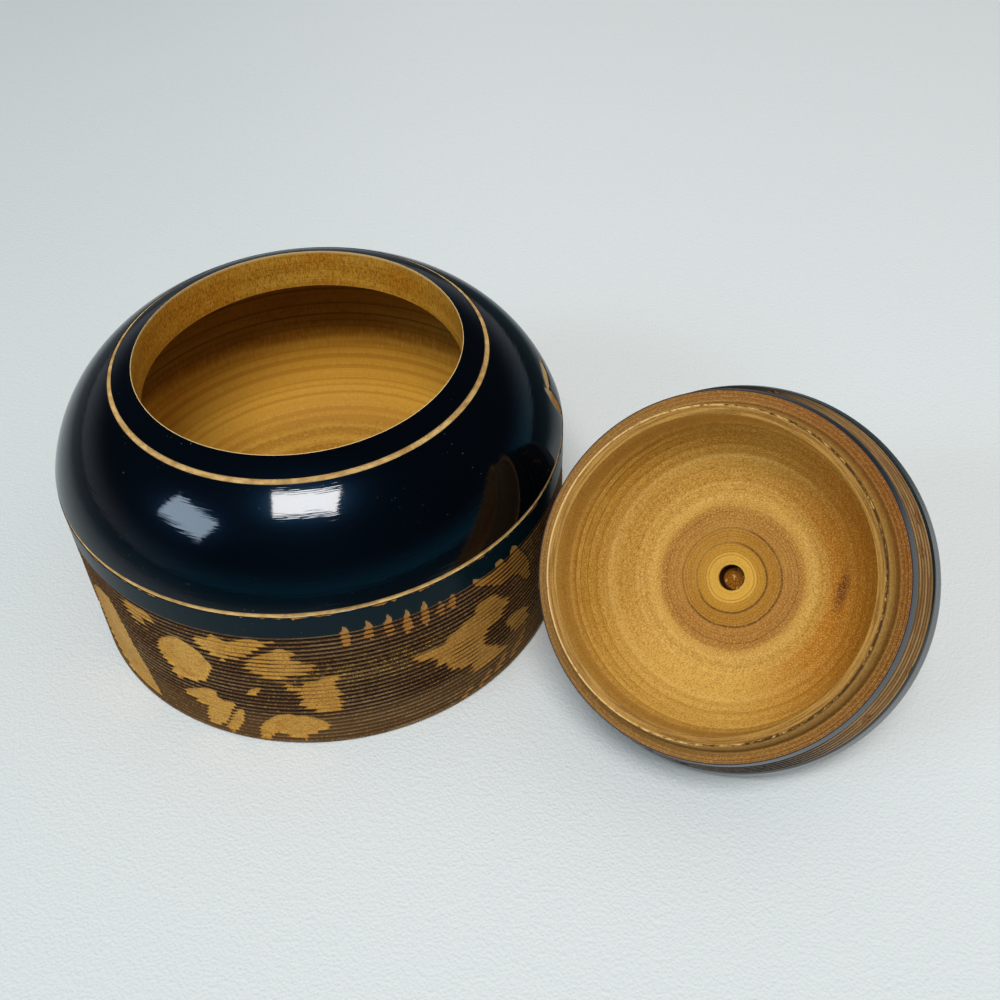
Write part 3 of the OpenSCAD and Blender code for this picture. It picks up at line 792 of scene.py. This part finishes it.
LOW_PETAL = [
    (-102.6, 1.0), (-102.2, 2.6), (-102.1, 4.1), (-101.0, 5.7), (-99.5, 7.3), (-97.9, 8.7), (-96.4, 9.3),
    (-94.5, 9.6), (-92.7, 9.1), (-90.9, 9.1), (-88.6, 8.2), (-87.0, 7.0), (-85.6, 5.5), (-86.2, 4.6),
    (-88.0, 3.9), (-90.1, 2.9), (-91.3, 2.5), (-91.0, 1.6), (-91.9, 1.0), (-93.8, 1.6), (-96.1, 2.5),
    (-97.9, 3.4), (-98.7, 2.3), (-99.7, 1.0)]
LOW_LEFT_PETAL = [
    (-119.4, 9.4), (-119.1, 10.3), (-117.2, 11.4), (-115.3, 12.3), (-113.5, 13.4), (-111.4, 13.7),
    (-109.9, 13.4), (-110.5, 11.9), (-109.1, 11.0), (-107.8, 11.2), (-106.2, 11.0), (-106.1, 10.0),
    (-106.8, 9.1), (-107.8, 7.3), (-108.8, 5.3), (-110.1, 3.2), (-111.4, 2.3), (-112.7, 1.2),
    (-114.6, 1.4), (-114.8, 5.0), (-113.8, 7.1), (-115.5, 7.4), (-116.9, 6.9), (-116.5, 8.3),
    (-118.5, 8.7)]
LAST_PETAL = [
    (-104.3, 8.9), (-104.4, 8.2), (-105.2, 5.7), (-106.5, 3.2), (-108.1, 1.0), (-110.4, 1.2),
    (-109.9, 3.0), (-108.5, 5.3), (-107.2, 7.6), (-106.2, 9.1), (-104.9, 9.5)]
SMALL_LEAF = [
    (-131.9, 29.4), (-130.1, 30.2), (-128.7, 31.1), (-126.3, 31.0), (-123.1, 31.1), (-121.7, 29.6),
    (-121.9, 28.1), (-125.1, 27.9), (-124.8, 26.7), (-123.4, 25.6), (-124.3, 24.9), (-126.7, 25.4),
    (-128.7, 24.6), (-129.6, 25.8), (-129.9, 27.5), (-131.1, 28.1)]
SIDE_LEAF = [
    (-138.6, 25.9), (-137.8, 25.6), (-136.3, 23.3), (-135.4, 20.6), (-134.4, 17.9), (-133.9, 15.4),
    (-133.0, 14.1), (-132.0, 11.6), (-130.8, 9.9), (-130.1, 7.0), (-129.0, 4.5), (-128.7, 1.2),
    (-138.5, 1.2), (-145.0, 3.2), (-149.8, 7.5), (-151.8, 13.5), (-150.2, 19.0), (-146.2, 23.2),
    (-141.8, 25.6)]
LARGE_LEAF = [
    (-66.9, 19.1), (-66.1, 20.4), (-62.7, 20.6), (-59.2, 20.3), (-59.2, 21.6), (-57.2, 22.1),
    (-55.1, 22.6), (-54.8, 23.4), (-51.3, 23.6), (-51.0, 25.2), (-49.8, 26.1), (-47.2, 25.9),
    (-45.1, 25.4), (-43.7, 23.9), (-42.2, 22.4), (-40.7, 20.8), (-39.9, 19.8), (-40.1, 18.8),
    (-42.5, 18.0), (-41.9, 16.7), (-44.5, 16.2), (-47.2, 15.9), (-46.9, 14.9), (-48.1, 14.4),
    (-46.9, 13.4), (-47.5, 12.4), (-46.0, 11.1), (-44.0, 9.8), (-43.7, 8.8), (-41.9, 7.7), (-40.7, 6.5),
    (-41.9, 6.1), (-46.6, 6.1), (-51.3, 6.1), (-52.8, 6.9), (-53.9, 7.7), (-52.2, 8.5), (-52.5, 9.3),
    (-55.4, 9.5), (-56.3, 10.3), (-58.0, 11.1), (-58.3, 12.1), (-59.5, 12.9), (-59.8, 13.9),
    (-61.6, 14.7), (-61.3, 15.7), (-61.6, 16.7), (-64.2, 17.2), (-65.7, 17.7)]
FAR_PETAL = [
    (-41.9, 14.4), (-39.6, 15.2), (-36.9, 14.4), (-34.9, 13.6), (-33.0, 12.1), (-32.4, 10.0),
    (-32.8, 8.5), (-34.9, 7.5), (-38.1, 8.3), (-40.4, 9.5), (-40.7, 11.1), (-41.3, 12.9)]
# Depth of each cut; the shallower ones leave the bottoms of the grooves
DEEP = [
    (EYE, 0.40), (LEFT_PETAL, 0.50), (TOP_PETAL, 0.28), (UPPER_PETAL, 0.29), (RIGHT_PETAL, 0.31),
    (LOW_PETAL, 0.45), (LOW_LEFT_PETAL, 0.40), (LAST_PETAL, 0.40), (SMALL_LEAF, 0.28),
    (SIDE_LEAF, 0.40), (LARGE_LEAF, 0.29), (FAR_PETAL, 0.27)]
TEETH = [
    (-51.1, 33.4), (-48.9, 32.1), (-46.6, 31.3), (-44.5, 31.3), (-44.3, 33.1), (-43.1, 33.5),
    (-42.2, 32.6), (-41.0, 30.8), (-40.0, 31.4), (-39.6, 33.1), (-39.0, 33.9), (-37.5, 33.1),
    (-36.3, 31.3), (-34.9, 29.0), (-33.4, 26.5), (-32.2, 23.9), (-31.9, 19.5), (-33.4, 20.1),
    (-35.2, 21.6), (-36.3, 23.6), (-38.4, 25.2), (-40.4, 25.7), (-42.8, 26.0), (-44.5, 26.7),
    (-46.6, 28.5), (-48.4, 29.5), (-49.5, 30.3), (-50.7, 31.6)]
# Short slanting cuts by the bottom edge: angle, height, half length, half width, lean
SHORT_CUTS = [
    (-53.8, 1.9, 2.3, 0.8, 30), (-48.6, 2.5, 2.9, 0.9, 40), (-43.8, 3.3, 3.5, 1.1, 42),
    (-37.4, 4.1, 4.2, 1.2, 38)]
# Row of upright nicks: angle, height, half length
NICKS = [
    (-79.6, 30.8, 2.9), (-74.8, 31.2, 2.7), (-70.5, 30.9, 3.2), (-66.6, 30.4, 3.3), (-62.7, 30.6, 3.4),
    (-59.1, 30.3, 2.1), (-56.3, 30.4, 2.1)]
# Outline of a nick with a half length of 1: across in mm, share of the half length
NICK = [
    (-0.05, 1.12), (0.15, 1.08), (0.8, 0.5), (1.15, -0.1), (1.05, -0.72), (0.3, -1.0), (-0.6, -0.86),
    (-1.1, -0.3), (-0.85, 0.4)]
# How fast deep cuts and shallower ones deepen inwards, in mm for each mm, and how far they spread
DEEP_SLOPE, CUT_SLOPE, CUT_SPREAD, CUT_UNEVEN = 0.6, 0.28, 0.2, 0.05
# Raggedness of the ends along the ridges: of deep cuts, of shallower ones and of nicks
DEEP_CUT, DEEP_RAGGED, RAGGED, NICK_RAGGED = 0.35, 0.16, 0.65, 0.25
SHALLOW_SLOPE, SHALLOW_DEPTH, TEETH_RED = 1.4, 0.23, 0.35
# Chips along the lower ring: size, times that the noise comes round, seed
CHIPS = ((0.30, 4, 11), (0.30, 1, 12), (0.25, 7, 13))
CHIP_MORE, CHIP_SLOPE, CHIP_DEPTH = 0.1, 0.5, 0.2


# Depth given to wood that no cut reaches, and distance inside given to points far from a cut
UNCUT, FAR_OUTSIDE = -1.0, -9.0


def leaf_depth(du, dz, length, width, turn):
    """Distance inside a leaf with two pointed ends, made by two circles."""
    a = du * cos(turn) + dz * sin(turn)
    b = np.abs(-du * sin(turn) + dz * cos(turn))
    radius = (length ** 2 + width ** 2) / (2 * width)
    return radius - np.hypot(a, b + radius - width)


def patch_depth(u, z, corners):
    """Distance inside a closed outline of straight sides."""
    pts = np.array(corners)
    gap = np.full(u.shape, 1e9)
    inside = np.zeros(u.shape, bool)
    for (ax, az), (bx, bz) in zip(pts, np.roll(pts, -1, axis=0)):
        dx, dz = bx - ax, bz - az
        k = np.clip(((u - ax) * dx + (z - az) * dz) / (dx * dx + dz * dz), 0, 1)
        gap = np.minimum(gap, np.hypot(u - ax - k * dx, z - az - k * dz))
        crosses = (az > z) != (bz > z)
        inside ^= crosses & (u < ax + (z - az) * dx / np.where(dz == 0, 1e-9, dz))
    return np.where(inside, gap, -gap)


def around(angle, at):
    """Distance round the wall from one angle to others, in mm, the short way."""
    return (np.mod(angle - at + pi, 2 * pi) - pi) * BODY_R


# Whole numbers after which the seeded noise comes round again
NOISE_SIZE = 97


def smooth_noise(u, v, seed):
    """Seeded noise on a grid of whole numbers, joined smoothly; u closes after a whole turn."""
    table = np.random.default_rng(seed).uniform(-1, 1, (NOISE_SIZE, NOISE_SIZE))
    iu, iv = np.floor(u).astype(int), np.floor(v).astype(int)
    fu, fv = u - iu, v - iv
    fu, fv = fu * fu * (3 - 2 * fu), fv * fv * (3 - 2 * fv)

    def pick(a, b):
        return table[np.mod(iu + a, NOISE_SIZE), np.mod(iv + b, NOISE_SIZE)]

    return ((pick(0, 0) * (1 - fu) + pick(1, 0) * fu) * (1 - fv)
            + (pick(0, 1) * (1 - fu) + pick(1, 1) * fu) * fv)


def on_lathe(mesh):
    """A mesh's points in mm, and their angles, distances from the axis and heights."""
    at = coords(mesh) / MM
    return at, np.arctan2(at[:, 1], at[:, 0]), np.hypot(at[:, 0], at[:, 1]), at[:, 2]


def push_in(mesh, at, radius, bare):
    """Moves points towards the axis where the wood lies bare, and keeps how deep it lies."""
    at[:, :2] *= (1 - np.clip(bare, 0, None) / np.maximum(radius, 1e-6))[:, None]
    set_coords(mesh, at * MM)
    set_number(mesh, "bare", bare)


def carve_wall(mesh):
    """Cuts the ornament into the combed wall and marks how deep the wood lies bare."""
    at, angle, radius, z = on_lathe(mesh)
    wall = radius > BODY_R - 0.5
    # Cuts end unevenly from ridge to ridge
    ridge = np.floor((z - POT_COMB[0]) / POT_COMB[2] + 0.5)
    turn = np.mod(angle / (2 * pi), 1.0)
    jitter = smooth_noise(turn * NOISE_SIZE * 2, ridge * 3.7, 3)
    uneven = CUT_UNEVEN * smooth_noise(turn * NOISE_SIZE, z * 0.2, 21)
    deep = np.full(z.shape, UNCUT)
    shallow = np.full(z.shape, FAR_OUTSIDE)
    red = np.ones(z.shape)

    def inside(corners, shift, ragged):
        """Points near an outline and their distances inside it."""
        first = radians(corners[0][0])
        flat = [((radians(a) - first) * BODY_R, h) for a, h in corners]
        u = around(angle, first + shift) + ragged * jitter
        near = (u > min(p[0] for p in flat) - 2) & (u < max(p[0] for p in flat) + 2)
        return near, patch_depth(u[near], z[near], flat)

    for shift in np.radians(POT_TURNS):
        for corners, depth in DEEP:
            ragged, slope = (DEEP_RAGGED, DEEP_SLOPE) if depth > DEEP_CUT else (RAGGED, CUT_SLOPE)
            near, gap = inside(corners, shift, ragged)
            cut = np.clip((gap + CUT_SPREAD) * slope, UNCUT, depth + uneven[near])
            deep[near] = np.maximum(deep[near], cut)
        nicks = [[(a + np.degrees(u / BODY_R), h + v * length) for u, v in NICK]
                 for a, h, length in NICKS]
        for corners, redness in [(TEETH, TEETH_RED)] + [(nick, 1.0) for nick in nicks]:
            near, gap = inside(corners, shift, NICK_RAGGED)
            red[near] = np.where(gap > shallow[near], redness, red[near])
            shallow[near] = np.maximum(shallow[near], gap)
        for a, h, length, width, lean in SHORT_CUTS:
            gap = leaf_depth(around(angle, radians(a) + shift), z - h, length, width, radians(lean))
            shallow = np.maximum(shallow, gap)
    light_cut = np.clip(shallow * SHALLOW_SLOPE, UNCUT, SHALLOW_DEPTH + uneven)
    set_number(mesh, "shallow", np.where(light_cut > deep, red, 0.0))
    cut = np.maximum(deep, light_cut)
    # Chips along the lower ring
    chip = sum(size * smooth_noise(turn * NOISE_SIZE * count, z * 0, seed) for size, count, seed in CHIPS)
    chip_cut = (z - RING_FOOT + np.clip(chip + CHIP_MORE, 0, 1)) * CHIP_SLOPE
    chip_cut = np.clip(chip_cut, UNCUT, CHIP_DEPTH)
    cut = np.maximum(cut, chip_cut)
    groove = BODY_R - radius
    push_in(mesh, at, radius, np.where(wall, cut - groove, UNCUT))
    set_number(mesh, "comb", np.clip((POT_COMB[1] + 0.5 - z) / 0.5, 0, 1))
    set_number(mesh, "dull", np.ones(len(z)))


# Two leaves on the shoulder: angle, height, half length, half width, lean
SPRIG = [(5.2, 45.0, 5.4, 1.2, 2), (-0.8, 42.4, 4.4, 1.6, 94)]
# Nearest to the axis that they reach, and length of the sloping shoulder for each mm of height
SPRIG_R, SPRIG_STRETCH = 40, 1.15
SPRIG_SLOPE, SPRIG_DEPTH = 0.9, 0.3


def carve_shell(mesh):
    """Two small leaves cut through the shoulder's lacquer at the side."""
    at, angle, radius, z = on_lathe(mesh)
    outside = (radius > SPRIG_R) & (z > WALL_H + 0.5)
    depth = np.full(z.shape, FAR_OUTSIDE)
    for a, h, length, width, lean in SPRIG:
        du, dz = around(angle, radians(a)), (z - h) * SPRIG_STRETCH
        depth = np.maximum(depth, leaf_depth(du, dz, length, width, radians(lean)))
    push_in(mesh, at, radius, np.where(outside, np.clip(depth * SPRIG_SLOPE, UNCUT, SPRIG_DEPTH), UNCUT))


# Small cuts in the lid's band: angle, height, half length, half width, lean
LID_NICKS = [
    (66, -8.0, 2.4, 0.9, 80), (84, -11.0, 2.0, 0.8, 95), (118, -6.5, 2.2, 0.9, 85),
    (128, -9.0, 2.6, 1.0, 100)]
LID_SPREAD, LID_SLOPE, LID_DEPTH = 0.1, 0.6, 0.3


def carve_lid(mesh):
    """Small cuts in the lid's combed band, repeated round it, and the band's own mark."""
    at, angle, radius, h = on_lathe(mesh)
    outside = (radius > FLANGE_R + 0.2) & (h > -LID_SIDE_H + 1.5)
    depth = np.full(h.shape, FAR_OUTSIDE)
    for repeat in range(REPEATS):
        for a, z, length, width, lean in LID_NICKS:
            du = around(angle, radians(a + 360 / REPEATS * repeat)) * (FLANGE_R / BODY_R)
            depth = np.maximum(depth, leaf_depth(du, h - z, length, width, radians(lean)))
    groove = get_number(mesh, "groove") * LID_COMB[3]
    cut = np.clip((depth + LID_SPREAD) * LID_SLOPE, UNCUT, LID_DEPTH)
    push_in(mesh, at, radius, np.where(outside, cut - groove, UNCUT))
    band = np.clip((h - LID_COMB[0]) / 1.2, 0, 1) * np.clip((LID_COMB[1] + 0.6 - h) / 1.2, 0, 1)
    set_number(mesh, "comb", np.where(outside, band, 0.0))
    set_number(mesh, "dull", np.where(h > LID_COMB[1], 0.7, 0.1))
    set_number(mesh, "brown", np.ones(len(h)))
    # Grey on the lid's lacquer edges: rubbed wear and a painted reflection of the floor
    strip = np.clip((h - LID_COMB[1] + 0.6) / 1.2, 0, 1) * np.clip((-0.7 - h) / 0.8, 0, 1)
    ring = np.clip((LID_COMB[0] + 1 - h) / 1.2, 0, 1) * np.clip((h + LID_SIDE_H + 3.2) / 2.5, 0, 1)
    set_number(mesh, "worn", np.where(radius > FLANGE_R - 2, np.maximum(strip, ring), 0.0))


def coat_knob(mesh):
    """The knob has lacquer all over and no cuts."""
    set_number(mesh, "bare", np.full(len(mesh.vertices), UNCUT))


def lay(piece):
    """Moves a piece from the lid's own frame to where the lid lies."""
    m = np.array(lying_matrix())
    at = coords(piece.data) / MM
    set_coords(piece.data, (at @ m[:3, :3].T + m[:3, 3]) * MM)


def outward(piece, inner_point):
    """Turns the faces so that the one farthest from a point on the axis looks away from it."""
    mesh = piece.data
    far = max(mesh.polygons, key=lambda p: (p.center - inner_point).length)
    if far.normal.dot(far.center - inner_point) < 0:
        mesh.flip_normals()


# Steps round each piece, and the angle from which an edge is sharp
SHELL_STEPS, WALL_STEPS, LID_STEPS, KNOB_STEPS = 480, 740, 400, 160
SHARP = radians(38)
# Points on the axis within the pot, the lid and the knob, in metres
POT_INSIDE, LID_INSIDE, KNOB_INSIDE = 0.03, -0.012, -BALL_MID_H * MM

pot_shell = turned("pot_shell", shell_profile(), SHELL_STEPS)
pot_wall = turned("pot_wall", wall_profile(), WALL_STEPS, POT_COMB, unevenness=0.45, seed=5)
lid_turned = turned("lid_turned", lid_profile(), LID_STEPS, LID_COMB, unevenness=0.4, seed=9)
knob_turned = turned("knob_turned", knob_profile(), KNOB_STEPS)
for piece, inside in ((pot_shell, POT_INSIDE), (pot_wall, POT_INSIDE),
                      (lid_turned, LID_INSIDE), (knob_turned, KNOB_INSIDE)):
    outward(piece, Vector((0, 0, inside)))
carve_wall(pot_wall.data)
carve_shell(pot_shell.data)
carve_lid(lid_turned.data)
coat_knob(knob_turned.data)
for piece in (lid_turned, knob_turned):
    lay(piece)
for piece in (pot_shell, pot_wall, lid_turned, knob_turned):
    piece.data.set_sharp_from_angle(angle=SHARP)

for piece, body, node, slot in ((pot_shell, "pot", "pot", "pot_lacquer"),
                                (pot_wall, "pot", "pot", "pot_lacquer"),
                                (lid_turned, "lid", "lid", "lid_wood"),
                                (knob_turned, "lid", "knob", "knob_lacquer")):
    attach(piece, body)
    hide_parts(node)


# Stage: floor, light and camera
BACKDROP = (0.72, 0.75, 0.75, 1.0)
# Floor beside the lid that shines in its lacquer, and where the floor passes into the backdrop
BY_LID, FLOOR_END, BACKDROP_START = (0.15, -0.05, 0.0), 0.55, 1.3


def floor_material():
    material = bpy.data.materials.new("pale_leatherette")
    material.use_nodes = True
    t = Tree(material.node_tree)
    at = t.node("ShaderNodeTexCoord").outputs["Object"]
    pebble = t.cells(at, 1900.0, "SMOOTH_F1")
    crease = t.noise(at, 1100.0, 2.0, 0.6)
    x, y, _ = t.split(at)
    # Painted light and shade on the floor: paler to the right and darker in front
    soft = t.add(x, t.mul(t.noise(at, 5.0, 2.0), 0.1))
    sheet = t.over((206, 212, 212), (222, 227, 227), t.span(soft, -0.12, 0.12))
    painted_shade_front = t.span(y, -0.02, -0.16, 0.0, 0.5)
    sheet = t.over(sheet, (202, 208, 208), painted_shade_front)
    # In reflections the sheet ends a little way off
    path = t.node("ShaderNodeLightPath").outputs
    off = t.vector("LENGTH", at, out="Value")
    dim = t.mix(t.span(y, -0.3, 0.2), (0.01, 0.07, 0.10, 1.0), (0.10, 0.12, 0.14, 1.0))
    right = t.span(x, 0.0, 0.1)
    dim = t.mix(right, dim, (0.015, 0.04, 0.05, 1.0))
    reach = t.math("MULTIPLY_ADD", right, 0.1, off)
    shone = t.mix(t.span(reach, 0.05, 0.3, 0.25, 1.0, smooth=False), sheet, dim)
    by_lid = t.vector("DISTANCE", at, BY_LID, out="Value")
    shone = t.mix(t.span(by_lid, 0.06, 0.13, 0.6, 0.0), shone, sheet)
    sheet = t.mix(path["Is Glossy Ray"], sheet, shone)
    height = t.add(pebble, t.mul(crease, 0.6))
    bump = t.node("ShaderNodeBump", {"Height": height, "Distance": 0.0002, "Strength": 0.6})
    shader = material.node_tree.nodes["Principled BSDF"]
    t.feed(shader.inputs["Base Color"], sheet)
    t.feed(shader.inputs["Normal"], bump.outputs[0])
    shader.inputs["Roughness"].default_value = 0.6
    shader.inputs["Specular IOR Level"].default_value = 0.25
    glow = t.node("ShaderNodeEmission", {"Color": BACKDROP})
    far = t.mul(t.span(off, FLOOR_END, BACKDROP_START), path["Is Camera Ray"])
    both = t.node("ShaderNodeMixShader", {0: far, 1: shader.outputs[0], 2: glow.outputs[0]})
    t.feed(material.node_tree.nodes["Material Output"].inputs["Surface"], both.outputs[0])
    return material


FLOOR_HALF, FLOOR_DROP = 3.0, 0.0001
floor_mesh = bpy.data.meshes.new("floor")
floor_mesh.from_pydata([(x * FLOOR_HALF, y * FLOOR_HALF, -FLOOR_DROP)
                        for x, y in ((-1, -1), (1, -1), (1, 1), (-1, 1))], [], [(0, 1, 2, 3)])
floor_mesh.materials.append(floor_material())
floor = bpy.data.objects.new("floor", floor_mesh)
bpy.context.scene.collection.objects.link(floor)

AIM, PANEL_DISTANCE = Vector((0.0, -0.02, 0.05)), 1.6


def panel(name, towards, side, wide, high, level, colour):
    """A soft light panel seen from the object in a given direction; level is its brightness."""
    away = Vector(towards).normalized()
    data = bpy.data.lights.new(name, "AREA")
    data.shape, data.size, data.size_y = "RECTANGLE", wide, high
    data.energy = level * pi * wide * high
    data.color = colour
    lamp = bpy.data.objects.new(name, data)
    across = Vector(side)
    across = (across - away * across.dot(away)).normalized()
    lamp.matrix_world = Matrix((across, away.cross(across), away)).transposed().to_4x4()
    lamp.matrix_world.translation = AIM + away * PANEL_DISTANCE
    bpy.context.scene.collection.objects.link(lamp)


panel("white_panel", (-0.027, -0.459, 0.888), (1.0, -0.003, 0.034),
      0.64, 0.46, 19.6, (1.0, 0.99, 0.97))
panel("window_panel", (-0.709, -0.426, 0.562), (0.475, -0.878, -0.058),
      0.60, 0.42, 7.1, (0.67, 0.84, 1.0))


def build_world():
    world = bpy.data.worlds.new("studio")
    bpy.context.scene.world = world
    world.use_nodes = True
    t = Tree(world.node_tree)
    out = world.node_tree.nodes["Background"]
    x, y, up = t.split(t.node("ShaderNodeTexCoord").outputs["Generated"])
    # What shines in the lacquer: a dim room, grey near the horizon behind and to the left, teal in front
    back = t.span(t.add(t.mul(x, -0.6), y), -0.5, 0.6)
    low = t.span(up, 0.0, 0.42, 1.0, 0.0)
    low = t.mul(low, low)
    colour = t.mix(back, (0.03, 0.18, 0.28, 1.0), (0.20, 0.22, 0.25, 1.0))
    room = t.mix(low, (0.012, 0.016, 0.022, 1.0), colour)
    path = t.node("ShaderNodeLightPath").outputs
    level = t.span(x, -1.0, 1.0, 0.24, 0.56, smooth=False)
    soft = t.mix(path["Is Glossy Ray"], t.join(level, level, level), room)
    t.feed(out.inputs["Color"], t.mix(path["Is Camera Ray"], soft, BACKDROP))
    out.inputs["Strength"].default_value = 1.0


build_world()

# Camera at the photo's angle
CAMERA_AT, LENS = Vector((36.9, -182.9, 196.1)) * MM, 43.49
CAMERA_DOWN, CAMERA_ROLL = radians(44.76), radians(-1.94)
forward = Vector((0, cos(CAMERA_DOWN), -sin(CAMERA_DOWN)))
level_right = Vector((1, 0, 0))
level_up = level_right.cross(forward)
right = cos(CAMERA_ROLL) * level_right + sin(CAMERA_ROLL) * level_up
upward = -sin(CAMERA_ROLL) * level_right + cos(CAMERA_ROLL) * level_up
camera_data = bpy.data.cameras.new("camera")
camera_data.sensor_width, camera_data.lens = 36.0, LENS
camera_data.clip_start = 0.01
camera = bpy.data.objects.new("camera", camera_data)
camera.matrix_world = Matrix((right, upward, -forward)).transposed().to_4x4()
camera.matrix_world.translation = CAMERA_AT
bpy.context.scene.collection.objects.link(camera)
bpy.context.scene.camera = camera
bpy.context.scene.view_settings.view_transform = "Standard"
